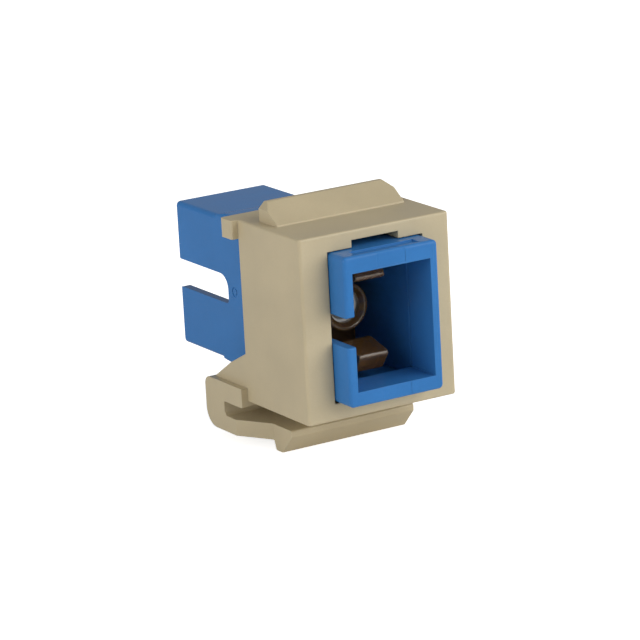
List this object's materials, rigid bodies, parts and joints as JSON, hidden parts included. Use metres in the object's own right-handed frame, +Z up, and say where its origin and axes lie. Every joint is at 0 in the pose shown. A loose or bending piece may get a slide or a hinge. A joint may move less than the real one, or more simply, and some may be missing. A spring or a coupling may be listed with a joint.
{
  "type": "fibre optic coupler module",
  "caption": "Snap-in fibre adapter module: a push-pull plug coupler with latch inserts and a split alignment sleeve, held in a moulded panel frame with a spring latch.",
  "frame": {"origin": "the point on the fibre axis where the two ferrule tips meet, in the middle of the adapter's length", "axes": "+Y runs back through the panel along the fibre axis, +Z is up towards the fixed lug, +X is right seen from the front"},
  "size_m": [0.016, 0.028, 0.0217],
  "materials": {
    "frame_plastic": "fine satin, light almond",
    "body_plastic": "semi-gloss, blue",
    "insert_plastic": "glossy, dark translucent amber",
    "sleeve_ceramic": "polished, white"
  },
  "bodies": {
    "root": {"snap_in_frame": "frame_plastic", "adapter_body": "body_plastic", "adapter_side_cover": "body_plastic", "front_latch_insert": "insert_plastic", "rear_latch_insert": "insert_plastic", "alignment_sleeve": "sleeve_ceramic"}
  },
  "joints": []
}
